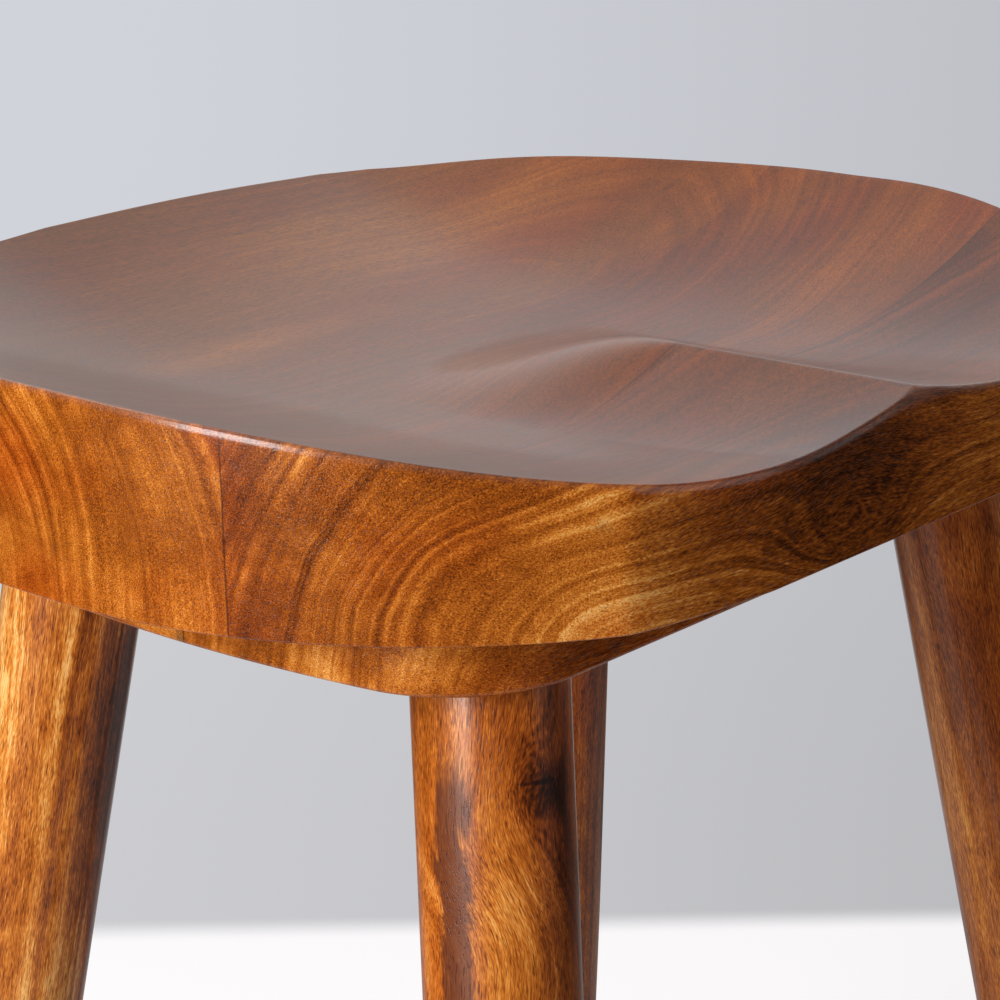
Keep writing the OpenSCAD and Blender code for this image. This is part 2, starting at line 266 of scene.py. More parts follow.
woodLook = {
    "tones": [
        (0.00, rgb(0.17, 0.07, 0.02)),        # late wood and mineral streaks
        (0.20, rgb(0.34, 0.155, 0.035)),
        (0.40, rgb(0.54, 0.265, 0.05)),
        (0.55, rgb(0.67, 0.36, 0.09)),
        (0.70, rgb(0.79, 0.47, 0.16)),
        (0.85, rgb(0.88, 0.60, 0.28)),
        (1.00, rgb(0.95, 0.74, 0.45)),        # the palest flecks of sapwood
    ],
    # noise: length along the grain, width across it, detail and roughness; a dash is a pore
    "noise": {
        "slow": (230.0, 70.0, 1.0, 0.5), "quick": (45.0, 16.0, 2.0, 0.5), "cloud": (120.0, 34.0, 3.0, 0.55),
        "figure": (15.0, 5.5, 2.0, 0.6), "fibre": (11.0, 0.6, 2.0, 0.6), "speck": (2.6, 0.36, 1.0, 0.5),
        "dash": (5.5, 0.42, 0.0, 0.5), "tint": (170.0, 50.0, 1.0, 0.5), "streak": (210.0, 22.0, 2.0, 0.6),
    },
    # direction of the grain, a point on the pith, the seed, and how far the grain bends slowly and quickly
    "grain": (1, 0, 0), "pith": (0, 0, 600), "seed": 1, "bend": 9.0, "slowShare": 2.2, "ripple": 3.0,
    # width of the rings, and the strength of broad and fine bands, of clouds and of flames across the grain;
    # rings show less where a cloud is dark
    "band": 16.0, "fineBand": 0.2, "broad": 0.55, "fine": 0.55, "calm": (0.36, 0.60), "calmest": 0.3,
    "cloud": 0.9, "figure": 0.35, "level": 0.50,
    # fibres, specks and pores
    "fibre": 0.5, "speck": 0.7, "poreFrom": 0.60, "poreEdge": 0.14, "pores": 0.55,
    "poreTone": (0.30, 0.20, 0.14),
    # dark streaks along the grain, where ragged is what figure and fibre add to an edge, and a redder tint
    "streakFrom": 0.64, "streakEdge": 0.09, "streakRagged": (0.2, 0.25), "streaks": 0.7,
    "streakTone": rgb(0.30, 0.16, 0.08),
    "tint": (0.40, 0.66), "tintTone": rgb(0.93, 0.74, 0.55), "redness": 0.5,
    # marks at places of their own
    "knots": (), "knotDark": 0.9, "knotTone": rgb(0.15, 0.06, 0.03),
    "cracks": (), "crackDark": 0.9, "crackEdge": (1.5, 0.2), "crackRagged": (2.0, 1.5),
    "crackTone": rgb(0.13, 0.04, 0.02),
    "glueLines": (), "glueHalf": (0.42, 0.10), "glueSpeck": 1.6, "glueDark": 0.62,
    "glueTone": rgb(0.16, 0.06, 0.02), "patches": (), "slants": (), "stripes": (),
    # a carved top shows rings, fibres and relief by these shares; it is darker and matter, and carries a
    # painted haze, a pale grey painted reflection of the backdrop in its lacquer
    "carved": False, "topRings": 0.42, "topFine": 0.6, "topRelief": 0.4, "topDark": 0.13, "topMatt": 0.16,
    # painted haze: its share everywhere, its further share towards one side, that side, its reach and its
    # pale grey tone
    "paintedHaze": 0.05, "paintedHazeMore": 0.28, "paintedHazeTowards": (-0.66, 0.75, 0.0), "paintedHazeReach": 150.0,
    "paintedHazeTone": (0.31, 0.272, 0.23),
    # lacquer; relief is in metres
    "gloss": 0.22, "glossGrain": 0.07, "relief": 0.00004, "ridges": 0.5, "pits": 0.6,
    "specular": 0.45, "coat": 0.15, "coatRough": 0.12,
}


def lacqueredWood(name, look):
    # Growth rings are distances from the pith, a line along the grain, bent by slow noise and by knots.
    # Bands of tone follow the rings; fibres and pores are specks drawn out along the grain.
    material, shader, place = newMaterial(name)
    along = np.array(look["grain"], float) / np.linalg.norm(look["grain"])
    across = np.cross([0, 0, 1] if abs(along[2]) < 0.8 else [1, 0, 0], along)
    across = across / np.linalg.norm(across)
    upward = np.cross(along, across)
    pith = np.array(look["pith"], float)
    fromPith = place.vector("SUBTRACT", tuple(pith))
    u, v, w = (fromPith.dot(tuple(axis)) for axis in (along, across, upward))
    seed = look["seed"] * 317.0
    grain = place.packed(u + seed, v, w)

    def woodGrain(flow, kind, out=0):
        length, width, detail, rough = look["noise"][kind]
        return flow.noise((length, width, width), detail, rough, out)

    # slow and quick bending of the grain, then its flow round each knot
    middle = (0.5, 0.5, 0.5)
    slow, quick = (woodGrain(grain, kind, "Color").vector("SUBTRACT", middle) for kind in ("slow", "quick"))
    slow = slow.vector("SCALE", look["bend"] * look["slowShare"])
    bend = slow.vector("ADD", quick.vector("SCALE", look["ripple"]))
    v = v + bend.dot((0.0, 1.0, 0.0))
    w = w + bend.dot((0.0, 0.0, 1.0))
    wander = place.vector("ADD", bend)
    ringLift, knotCore = 0.0, None
    for knot in look["knots"]:
        k = np.array(knot["at"], float) - pith
        length, width = knot["size"]
        du, dv, dw = u - float(k @ along), v - float(k @ across), w - float(k @ upward)
        reach = du * du / length ** 2 + (dv * dv + dw * dw) / width ** 2
        swell = place.math("POWER", math.e, reach * -1.0)
        v = v - dv * swell * knot["flow"]
        w = w - dw * swell * knot["flow"]
        ringLift = swell * knot["rings"] + ringLift
        core = swell.step(knot["core"], 1.0)
        knotCore = core if knotCore is None else knotCore.math("MAXIMUM", knotCore, core)
    for slant in look["slants"]:
        # here the grain runs askew: a slope across it for each millimetre along it
        skew = (u - float((np.array(slant["at"], float) - pith) @ along)) * place.nearness(slant)
        v, w = v + skew * slant["slope"][0], w + skew * slant["slope"][1]

    flow = place.packed(u + seed, v, w)
    rings = place.math("SQRT", v * v + w * w) + ringLift
    cloud = woodGrain(grain, "cloud")
    calm = cloud.step(*look["calm"]) * (1 - look["calmest"]) + look["calmest"]
    broad = rings.bands(look["band"], seed + 3.7, 1.0, 0.5) - 0.5
    fine = rings.bands(look["band"] * look["fineBand"], seed + 5.1, 2.0, 0.6) - 0.5
    figure, fibre, speck = (woodGrain(flow, kind) - 0.5 for kind in ("figure", "fibre", "speck"))
    pores = woodGrain(flow, "dash").step(look["poreFrom"], look["poreFrom"] + look["poreEdge"])
    bandTone = (broad * look["broad"] + fine * look["fine"]) * calm
    slowTone = bandTone + (cloud - 0.5) * look["cloud"] + figure * look["figure"]
    fineTone = fibre * look["fibre"] + speck * look["speck"]
    if look["carved"]:
        walls = place.node("ShaderNodeAttribute", {"attribute_name": "wall"}, out="Fac")
        slowTone = slowTone * (walls * (1 - look["topRings"]) + look["topRings"])
        slowTone = slowTone + (walls - 1) * look["topDark"]
        fineTone = fineTone * (walls * (1 - look["topFine"]) + look["topFine"])
    tone = slowTone + fineTone + look["level"]
    for patch in look["patches"]:
        # a darker or paler place with a ragged edge; some are tones of the wood, and some are painted light
        # or shade, as marked where they are listed
        tone = wander.nearness(patch) * patch["tone"] + tone
    colour = tone.node("ShaderNodeValToRGB", {"stops": look["tones"]}, {"Fac": tone})

    # dark heartwood streaks run along the grain with ragged edges
    byFigure, byFibre = look["streakRagged"]
    streak = woodGrain(flow, "streak") + fibre * byFibre + figure * byFigure
    streak = streak.step(look["streakFrom"], look["streakFrom"] + look["streakEdge"])
    for stripe in look["stripes"]:
        # a streak down one side of a leg: its middle swings as a sine of the distance along the leg
        out = place.vector("SUBTRACT", stripe["at"])
        up = out.dot(tuple(along))
        swing, length, phase = stripe["swing"]
        middle = place.math("SINE", up * (2 * math.pi / length) + phase) * swing
        byFigure, byFibre, atEnd = stripe["ragged"]
        off = place.math("ABSOLUTE", out.dot(stripe["side"]) - middle) + figure * byFigure + fibre * byFibre
        mark = off.step(stripe["half"] + stripe["edge"], stripe["half"] - stripe["edge"])
        mark = mark * out.dot(stripe["facing"]).step(*stripe["depth"])
        mark = mark * (up + figure * atEnd).step(*stripe["fades"])
        streak = place.math("MAXIMUM", streak, mark)
    colour = (streak * look["streaks"]).blend(colour, look["streakTone"])
    tint = woodGrain(grain, "tint").step(*look["tint"]) * look["redness"]
    colour = tint.blend(colour, look["tintTone"], "MULTIPLY")
    colour = (pores * look["pores"]).blend(colour, look["poreTone"], "MULTIPLY")
    if knotCore is not None:
        colour = (knotCore * look["knotDark"]).blend(colour, look["knotTone"])
    for crack in look["cracks"]:
        # a thin dark check across a knot
        away = wander.vector("SUBTRACT", crack["at"]).vector("DIVIDE", crack["size"])
        byFigure, byFibre = look["crackRagged"]
        off = away.dot(away) + figure * byFigure + fibre * byFibre
        dark = off.step(*look["crackEdge"]) * look["crackDark"]
        colour = dark.blend(colour, look["crackTone"])
    for axis, at in look["glueLines"]:
        line = place.math("ABSOLUTE", place.dot(axis) - at).step(*look["glueHalf"])
        line = line * (speck * look["glueSpeck"] + look["glueDark"])
        colour = line.blend(colour, look["glueTone"])

    gloss = fibre * look["glossGrain"] + figure * look["glossGrain"] + look["gloss"]
    relief = fibre * look["ridges"] + speck * look["ridges"] - pores * look["pits"]
    if look["carved"]:
        # painted reflection: the top's colour is blended towards a pale grey haze, as the backdrop's sheen
        # on the lacquer would be, more so to one side
        reach = look["paintedHazeReach"]
        paintedHaze = place.dot(look["paintedHazeTowards"]).step(-reach, reach) * look["paintedHazeMore"] + look["paintedHaze"]
        colour = ((1 - walls) * paintedHaze).blend(colour, look["paintedHazeTone"])
        gloss = gloss + (1 - walls) * look["topMatt"]
        relief = relief * (walls * (1 - look["topRelief"]) + look["topRelief"])
    feed(shader, colour, gloss, relief, look["relief"])
    shader.inputs["Specular IOR Level"].default_value = look["specular"]
    shader.inputs["Coat Weight"].default_value = look["coat"]
    shader.inputs["Coat Roughness"].default_value = look["coatRough"]
    return material


# Seat: three boards with one carved surface

seat = {
    "width": 446.0, "depth": 346.0, "shift": 6.0, "underside": 687.0, "joints": (-68.0, 50.0),
    # outline: arcs at the ends, eased and turned into the front and back edges
    "endRadius": 178.0, "endFlat": 24.0, "frontEase": 40.0, "frontEaseDepth": 10.5,
    "backEase": 33.0, "backEaseDepth": 110.0, "backEasePower": 6.4,
    "frontTurn": 7.0, "frontTurnDepth": 0.7, "backTurn": 26.0, "backTurnDepth": 4.6,
    # hollow: its floor above the underside, and its rises to the edges
    "floor": 28.48, "frontRise": 10.5, "backRise": 41.8, "lipPower": 2.5, "thigh": 85.0,
    "sideRise": 38.5, "flarePower": 1.7, "flareSoft": 22.0, "backCrown": 2.3, "crownReach": 1.3,
    # pommel, with a bevel along its crest
    "pommelRise": 19.0, "pommelHalf": 66.0, "pommelFoot": 0.15, "pommelLength": 91.0, "pommelFade": 127.0,
    "creaseRadius": 0.8, "creaseFaded": 42.0, "pommelBevel": 3.0, "bevelSoft": 1.2,
    # rounded edges and mesh
    "rimRadius": 1.75, "rimDepth": 3.6, "lowerRadius": 0.8, "columns": 230, "rows": (110, 80, 110),
    # finish of all the boards, then of each
    "look": {
        "carved": True, "broad": 0.42, "cloud": 0.65, "figure": 0.25, "streakFrom": 0.70, "redness": 0.7,
    },
    "boards": {
        "Front": {
            "pith": (-214, -164, 686), "seed": 3, "level": 0.44, "fine": 0.75, "streaks": 0.5,
            "knots": [{"at": (-40, -170, 700), "size": (34, 17), "flow": 0.6, "rings": 22.0, "core": 0.985}],
            "patches": [
                {"at": (-45, -167, 712), "size": (60, 30, 30), "tone": -0.16},
                # painted light: paler round the front-left corner, where the lamp on the left reaches onto
                # the front
                {"at": (-175, -160, 700), "size": (66, 25, 40), "tone": 0.20},
                {"at": (50, -167, 700), "size": (60, 20, 40), "tone": 0.12},
                {"at": (150, -75, 725), "size": (70, 60, 30), "tone": -0.10},
            ],
        },
        "Middle": {
            "pith": (-214, 88, 690), "seed": 8, "level": 0.49,
            "patches": [
                {"at": (-217, 5, 694), "size": (30, 45, 14), "tone": 0.12},
                {"at": (165, 60, 740), "size": (90, 90, 60), "tone": -0.04},
            ],
        },
        "Back": {
            "pith": (-214, 88, 690), "seed": 8, "level": 0.53,
            "patches": [
                {"at": (165, 60, 740), "size": (90, 90, 60), "tone": -0.04},
                {"at": (110, 125, 750), "size": (80, 50, 60), "tone": 0.14},
                {"at": (10, 125, 750), "size": (80, 50, 60), "tone": 0.10},
            ],
        },
    },
}
seatFront = seat["shift"] - seat["depth"] / 2
seatBack = seat["shift"] + seat["depth"] / 2


def seatHalf(y):
    # half width: an arc past the flat of each end, less the easing, a power of the distance into its depth,
    # and less a quarter ellipse that turns the outline into the front and back edges without a corner
    past = np.maximum(0, np.abs(y - seat["shift"]) - seat["endFlat"] / 2)
    gap = seat["depth"] / 2 - np.abs(y - seat["shift"])
    front = seat["frontEase"] * np.maximum(0, 1 - gap / seat["frontEaseDepth"]) ** 2
    front = front + edgeDrop(gap, seat["frontTurnDepth"], seat["frontTurn"])
    back = seat["backEase"] * np.maximum(0, 1 - gap / seat["backEaseDepth"]) ** seat["backEasePower"]
    back = back + edgeDrop(gap, seat["backTurnDepth"], seat["backTurn"])
    arc = np.sqrt(seat["endRadius"] ** 2 - past ** 2)
    return seat["width"] / 2 - seat["endRadius"] + arc - np.where(y < seat["shift"], front, back)


def seatTop(x, y):
    # height of the carving: rises to the front, back and ends are powers of the distance from the hollow;
    # the pommel falls off from its crease to its foot, and fades to the back while the crease rounds off;
    # a bevel cuts its crest: the lower of two heights, less a small square where they come close
    frontLip = seat["frontRise"] * np.abs(np.minimum(y, 0) / seatFront) ** seat["lipPower"]
    backLip = seat["backRise"] * np.abs(np.maximum(y, 0) / seatBack) ** seat["lipPower"]
    lip = np.where(y < 0, frontLip, backLip)
    reach = seat["width"] / 2 - seat["thigh"]
    u, soft = np.abs(x) - seat["thigh"], seat["flareSoft"]
    flare = (u + np.sqrt(u * u + soft ** 2)) / (reach + math.sqrt(reach ** 2 + soft ** 2))
    flare = seat["sideRise"] * flare ** seat["flarePower"]
    crown = np.maximum(0, 1 - (x / seat["thigh"] / seat["crownReach"]) ** 2) ** 2
    crown = seat["backCrown"] * (np.maximum(0, y) / seatBack) ** 2 * crown
    faded = np.clip((y - seatFront - seat["pommelLength"]) / seat["pommelFade"], 0, 1)
    height = 1 - faded ** 3 * (10 - 15 * faded + 6 * faded ** 2)
    height = np.maximum(0, seat["pommelRise"] - frontLip) * height
    crease = seat["creaseFaded"] * np.sin(math.pi / 2 * np.minimum(1, 2.0 * faded)) ** 2
    crease = np.maximum(seat["creaseRadius"], crease)
    half, foot = seat["pommelHalf"], seat["pommelFoot"]
    across = (np.sqrt(x * x + crease ** 2) - crease) / (np.sqrt(half ** 2 + crease ** 2) - crease)
    inward = 1 - np.minimum(1, across)
    ridge = height * inward ** 2 * np.sqrt((1 + foot) / (inward + foot))
    carved = lip + flare + ridge + crown
    bevel = seat["pommelRise"] - seat["pommelBevel"] + flare + np.maximum(0, y - seatFront)
    near = np.maximum(0, 1 - np.abs(carved - bevel) / seat["bevelSoft"])
    return seat["underside"] + seat["floor"] + np.minimum(carved, bevel) - near ** 2 * seat["bevelSoft"] / 4


def seatRows(fromY, toY, count):
    # rows lie closer together towards the front and back edges, as the sine of an even angle
    reach = seat["depth"] / 2
    angles = np.arcsin((np.array([fromY, toY]) - seat["shift"]) / reach)
    return seat["shift"] + reach * np.sin(np.linspace(*angles, count))


limits = [seatFront, *seat["joints"], seatBack]
for i, (side, look) in enumerate(seat["boards"].items()):
    look = {**woodLook, **seat["look"], **look}
    if side != "Back":          # the joint behind the middle board shows no dark line
        look["glueLines"] = [((0, 1, 0), seat["joints"][0])]
    y = seatRows(limits[i], limits[i + 1], seat["rows"][i])
    points, faces, wall = slab(seatHalf, seatTop, seat["underside"], y, seat["columns"], seat["rimRadius"],
                               seat["lowerRadius"], (seatFront, seatBack), upperDepth=seat["rimDepth"])
    finish = lacqueredWood("seatWood" + side, look)
    node = "seat_board_" + side.lower()
    addPiece("seatBoard" + side, points, faces, finish, [node], sharpAngle=50, wall=wall)
print("seat carved:", seatFront, "to", seatBack)


# Plate under the seat, in two boards

plate = {
    "width": 368.0, "depth": 260.0, "underside": 665.0, "thickness": 22.0, "cornerRadius": 48.0,
    "bowRadius": 560.0, "joint": -16.0, "upperRadius": 0.6, "lowerRadius": 1.8, "columns": 90, "rows": 60,
    "boards": {
        "Front": {
            "pith": (0, -190, 640), "seed": 21, "level": 0.50, "redness": 0.4,
            # painted highlight: paler at the plate's rounded front-left corner, where the window lamp's
            # reflection falls
            "patches": [{"at": (-160, -105, 676), "size": (60, 40, 20), "tone": 0.08}],
        },
        "Back": {"pith": (0, 30, 560), "seed": 27, "level": 0.55, "redness": 0.3},
    },
}


def plateHalf(y):
    # half width: the arc of the bowed end up to its tangent point, then the arc of the corner
    cornerY = plate["depth"] / 2 - plate["cornerRadius"]
    bowX = plate["width"] / 2 - plate["bowRadius"]
    cornerX = bowX + math.sqrt((plate["bowRadius"] - plate["cornerRadius"]) ** 2 - cornerY ** 2)
    tangentY = cornerY * plate["bowRadius"] / (plate["bowRadius"] - plate["cornerRadius"])
    bow = bowX + np.sqrt(plate["bowRadius"] ** 2 - y ** 2)
    past = np.clip(np.abs(y) - cornerY, 0, plate["cornerRadius"])
    corner = cornerX + np.sqrt(plate["cornerRadius"] ** 2 - past ** 2)
    return np.where(np.abs(y) < tangentY, bow, corner)


plateEdge = plate["depth"] / 2
plateTop = plate["underside"] + plate["thickness"]
for side, ends in {"Front": (-plateEdge, plate["joint"]), "Back": (plate["joint"], plateEdge)}.items():
    look = {**woodLook, **plate["boards"][side], "glueLines": [((0, 1, 0), plate["joint"])]}
    # rows lie closer together towards the edge, as on the seat
    y = plateEdge * np.sin(np.linspace(*np.arcsin(np.array(ends) / plateEdge), plate["rows"]))
    points, faces, _ = slab(plateHalf, lambda x, y: np.full_like(x, plateTop), plate["underside"], y,
                            plate["columns"], plate["upperRadius"], plate["lowerRadius"],
                            (-plateEdge, plateEdge), crowd=1.0)
    finish = lacqueredWood("plateWood" + side, look)
    node = "plate_board_" + side.lower()
    addPiece("plateBoard" + side, points, faces, finish, [node], sharpAngle=50)
print("plate made")


# Legs

legs = {
    "spanX": 262.0, "spanY": 193.0, "splayX": 7.5, "splayY": 8.5, "diameter": 50.0, "foot": 38.0,
    "straight": 260.0, "taperPower": 1.4, "tenon": 30.0, "ground": 5.0,
    "upperRadius": 0.8, "lowerRadius": 1.2,
    # mesh: rows close together over the round ends, then even rows between
    "spokes": 112, "rows": 110, "endRows": (0, 0.0003, 0.00075, 0.00135, 0.0021, 0.003), "evenFrom": 0.01,
    # finish of all the legs, then of each; a pith is an offset in X and Y from the leg's centre
    "look": {"band": 15.0, "fibre": 0.4, "pores": 0.75, "coat": 0.35, "gloss": 0.3},
    "looks": {
        "FrontLeft": {
            "pith": (-60, 30), "seed": 31, "band": 13.0, "level": 0.62, "bend": 10.0, "streaks": 0.85,
            "streakTone": rgb(0.37, 0.20, 0.13),
            "knots": [{"at": (-143, -125, 636), "size": (16, 9), "flow": 0.7, "rings": 12.0, "core": 0.99}],
            "cracks": [{"at": (-145, -124.5, 635.6), "size": (7.5, 6.0, 0.9)}],
            "patches": [
                {"at": (-142, -125, 632), "size": (11, 9, 10), "tone": -0.36},
                {"at": (-158, -121, 597), "size": (7, 8, 22), "tone": 0.20},
                # painted shade: a long dark patch down the side of this leg turned away from the lamp on the
                # left
                {"at": (-134, -129, 600), "size": (15, 15, 200), "tone": -0.32},
            ],
            "slants": [{"at": (-158, -122, 600), "size": (30, 30, 34), "slope": (0.35, 0.35)}],
            "stripes": [{
                "at": (-161.2, -109, 615), "side": (-0.42, 0.90, 0.0), "facing": (-0.90, -0.42, 0.0),
                "half": 5.3, "edge": 1.3, "swing": (2.6, 150.0, 0.6), "depth": (-14.0, -8.0),
                "fades": (34.0, 16.0), "ragged": (9.0, 3.0, 30.0),
            }],
        },
        "FrontRight": {"pith": (40, 20), "seed": 35, "level": 0.53},
        "BackLeft": {
            "pith": (70, -40), "seed": 39, "level": 0.68, "streaks": 0.8, "redness": 0.1,
            "figure": 0.6, "cloud": 1.1, "band": 7.0, "broad": 0.9, "fine": 0.8,
            # painted shade: a long dark patch down the side of this leg turned away from the lamp on the
            # left
            "patches": [{"at": (-132, 75, 600), "size": (20, 26, 140), "tone": -0.40}],
        },
        "BackRight": {"pith": (-45, -50), "seed": 44, "level": 0.42, "coat": 0.15, "gloss": 0.36},
    },
}
underside = plate["underside"]
splay = np.tan(np.radians([legs["splayX"], legs["splayY"]]))


def legAt(side, z):
    # centre of a leg at height z; side is its corner, -1 or 1 in X and Y
    spread = np.array([legs["spanX"], legs["spanY"]]) / 2 + (underside - z) * splay
    return np.array([*(side * spread), z])


def legRings(side):
    # The surface is a ring of radius r(s) at distance s down the axis. Each spoke starts and ends where it
    # meets a level plane: s = -r * (spoke's rise) / (axis' fall), and s runs evenly between its two ends.
    axis = legAt(side, 0) - legAt(side, underside)
    length = np.linalg.norm(axis)
    axis = axis / length
    drop = length / underside
    first = np.cross([0, 1, 0], axis)
    first = first / np.linalg.norm(first)
    second = np.cross(-axis, first)
    angle = np.linspace(0, 2 * math.pi, legs["spokes"], endpoint=False)
    spoke = np.cos(angle)[:, None] * first + np.sin(angle)[:, None] * second

    def level(z, radius):
        return legAt(side, z) + radius * spoke - np.outer(radius * spoke[:, 2] / axis[2], axis)

    top = -legs["diameter"] / 2 * spoke[:, 2] / axis[2]
    base = (underside - legs["ground"]) * drop - legs["foot"] / 2 * spoke[:, 2] / axis[2]
    ends = np.array(legs["endRows"])
    even = np.linspace(legs["evenFrom"], 1 - legs["evenFrom"], legs["rows"])
    share = np.concatenate([ends, even, 1 - ends[::-1]])[:, None]
    s = top + (base - top) * share
    # below its straight part the leg thins as a power of the distance
    taper = (underside + legs["diameter"]) * drop - legs["straight"]
    thinned = (np.maximum(0, s - legs["straight"]) / taper) ** legs["taperPower"]
    radius = legs["diameter"] / 2 - (legs["diameter"] - legs["foot"]) / 2 * thinned
    radius = radius - edgeDrop(s - top, legs["upperRadius"]) - edgeDrop(base - s, legs["lowerRadius"])
    body = legAt(side, underside) + s[:, :, None] * axis + radius[:, :, None] * spoke
    tenon = [level(underside + plate["thickness"], legs["tenon"] / 2), level(underside, legs["tenon"] / 2)]
    return np.concatenate([np.stack(tenon), body]), axis


corners = {"FrontLeft": (-1, -1), "FrontRight": (1, -1), "BackLeft": (-1, 1), "BackRight": (1, 1)}
nodeEnding = {
    "FrontLeft": "front_left", "FrontRight": "front_right",
    "BackLeft": "back_left", "BackRight": "back_right",
}
for corner, side in corners.items():
    rings, axis = legRings(side)
    look = {**woodLook, **legs["look"], **legs["looks"][corner]}
    centre = legAt(side, underside)
    look["pith"] = (centre[0] + look["pith"][0], centre[1] + look["pith"][1], centre[2])
    look["grain"] = tuple(-axis)
    points, faces = ringStack(rings)
    finish = lacqueredWood("legWood" + corner, look)
    addPiece("leg" + corner, points, faces, finish, ["leg_" + nodeEnding[corner]])
print("legs turned")


# Foot rails

rails = {
    "lowHeight": 225.0, "highHeight": 290.0, "middle": 30.0, "end": 23.0, "tenon": 20.0,
    "past": 3.0, "shoulderGap": 0.5, "shoulderRadius": 1.0, "rows": 90, "spokes": 80,
    # finish of all the rails, then of each
    "pithAside": 20.0, "pithBelow": 26.0, "look": {"band": 10.0},
    "looks": {
        "Front": {"seed": 51, "level": 0.50}, "Back": {"seed": 55, "level": 0.46},
        "Left": {"seed": 58, "level": 0.56}, "Right": {"seed": 63, "level": 0.48},
    },
}


def railProfile(length):
    # half profile down the rail: tenons, and between them a body with round shoulders, which swells
    # as the cosine of the distance from its middle
    tenonLength = rails["past"] + legs["diameter"] / 2 + rails["shoulderGap"]
    body = length / 2 - tenonLength
    share = np.sin(np.linspace(-math.pi / 2, math.pi / 2, rails["rows"]))
    radius = rails["end"] / 2 + (rails["middle"] - rails["end"]) / 2 * np.cos(math.pi / 2 * share)
    radius = radius - edgeDrop(body * (1 - np.abs(share)), rails["shoulderRadius"])
    tenonRadius = rails["tenon"] / 2
    heights = np.concatenate([[length / 2, body], -share * body, [-body, -length / 2]])
    return np.concatenate([[tenonRadius] * 2, radius, [tenonRadius] * 2]), heights


# for each rail: which way its middle lies from the stool's, and its axis
railPlaces = {
    "Front": ((0, -1), (1, 0, 0)), "Back": ((0, 1), (1, 0, 0)),
    "Left": ((-1, 0), (0, 1, 0)), "Right": ((1, 0), (0, 1, 0)),
}
for side, (where, along) in railPlaces.items():
    end = legAt((1, 1), rails["lowHeight"] if along[0] else rails["highHeight"])
    reach = end[0] if along[0] else end[1]
    centre = (where[0] * end[0], where[1] * end[1], end[2])
    radii, heights = railProfile(2 * (reach + rails["past"]))
    points, faces = turned(radii, heights, centre, along, rails["spokes"])
    aside = rails["pithAside"]
    pith = (centre[0] + aside * along[1], centre[1] + aside * along[0], centre[2] - rails["pithBelow"])
    look = {**woodLook, **rails["look"], **rails["looks"][side], "grain": along, "pith": pith}
    finish = lacqueredWood("railWood" + side, look)
    addPiece("rail" + side, points, faces, finish, ["rail_" + side.lower()])
print("rails turned")


# Glides and their nails

glides = {
    "diameter": 32.0, "thickness": 5.0, "chamfer": 5.0 / 3, "edge": 0.4, "recess": 4.6, "recessDepth": 2.5,
    "nail": 3.0, "nailLength": 20.0, "nailPoint": 2.0, "nailHead": 9.0, "nailHeadThickness": 1.5,
    "headBevel": 0.3, "headSide": 1.0, "headRound": 0.5, "headRoundHeight": 0.45,
    "centre": 0.2, "quarterRows": 5, "spokes": 96, "nailSpokes": 48,
    "plastic": {
        "tone": rgb(0.20, 0.16, 0.13), "grain": 0.8, "scuff": (9.0, 9.0, 3.0), "scuffEdge": (0.45, 0.75),
        "scuffed": 0.5, "scuffLight": 0.06, "gloss": 0.42, "glossGrain": 0.16, "glossScuff": 0.12,
        "relief": 0.00005,
    },
}
zincLook = {
    "tone": rgb(0.74, 0.74, 0.72), "pale": rgb(0.84, 0.84, 0.83), "cloud": 2.2, "scratch": (0.25, 3.0, 3.0),
    "gloss": 0.22, "glossCloud": 0.18, "glossScratch": 0.12, "relief": 0.00002,
}


def mouldedPlastic(name, look):
    # matt moulded plastic: fine grain in the gloss, and scuffs from sliding on the floor
    material, shader, place = newMaterial(name)
    grain = place.noise([look["grain"]] * 3, 2.0)
    scuff = place.noise(look["scuff"], 4.0, 0.7).step(*look["scuffEdge"])
    worn = [look["scuffed"] * c + look["scuffLight"] for c in look["tone"]]
    colour = (scuff * look["scuffed"]).blend(look["tone"], worn)
    gloss = grain * look["glossGrain"] + scuff * look["glossScuff"] + look["gloss"]
    feed(shader, colour, gloss, grain + scuff * look["scuffed"], look["relief"])
    return material


def zincSteel(name, look):
    # zinc plating: faint cloudy patches and fine scratches
    material, shader, place = newMaterial(name)
    cloud = place.noise([look["cloud"]] * 3, 3.0, 0.6)
    scratch = place.noise(look["scratch"], 2.0, 0.7)
    gloss = cloud * look["glossCloud"] + scratch * look["glossScratch"] + look["gloss"]
    feed(shader, cloud.blend(look["tone"], look["pale"]), gloss, scratch, look["relief"])
    shader.inputs["Metallic"].default_value = 1.0
    return material


def glideProfile():
    # down the glide: its upper face with a round edge, the chamfer and the recess for the nail's head
    outer, upper, edge = glides["diameter"] / 2, glides["thickness"], glides["edge"]
    recess, depth = glides["recess"], glides["recessDepth"]
    radii = [outer - edge, *(outer - edge + edge * np.sin(quarter)), outer, outer - glides["chamfer"],
             recess, recess, glides["centre"]]
    heights = [upper, *(upper - edge + edge * np.cos(quarter)), glides["chamfer"], 0, 0, depth, depth]
    return radii, heights


def nailProfile():
    # down the nail: point, shank, the flat under the head, its side and its round lower edge
    head, shank, top = glides["nailHead"] / 2, glides["nail"] / 2, glides["recessDepth"]
    point, side = top + glides["nailLength"], top - glides["headSide"]
    radii = [glides["centre"], shank, shank, head - glides["headBevel"], head, head,
             *(head + glides["headRound"] * (np.cos(quarter) - 1)), glides["centre"]]
    heights = [point, point - glides["nailPoint"], top, top, top - glides["headBevel"], side,
               *(side - glides["headRoundHeight"] * np.sin(quarter)), top - glides["nailHeadThickness"]]
    return radii, heights


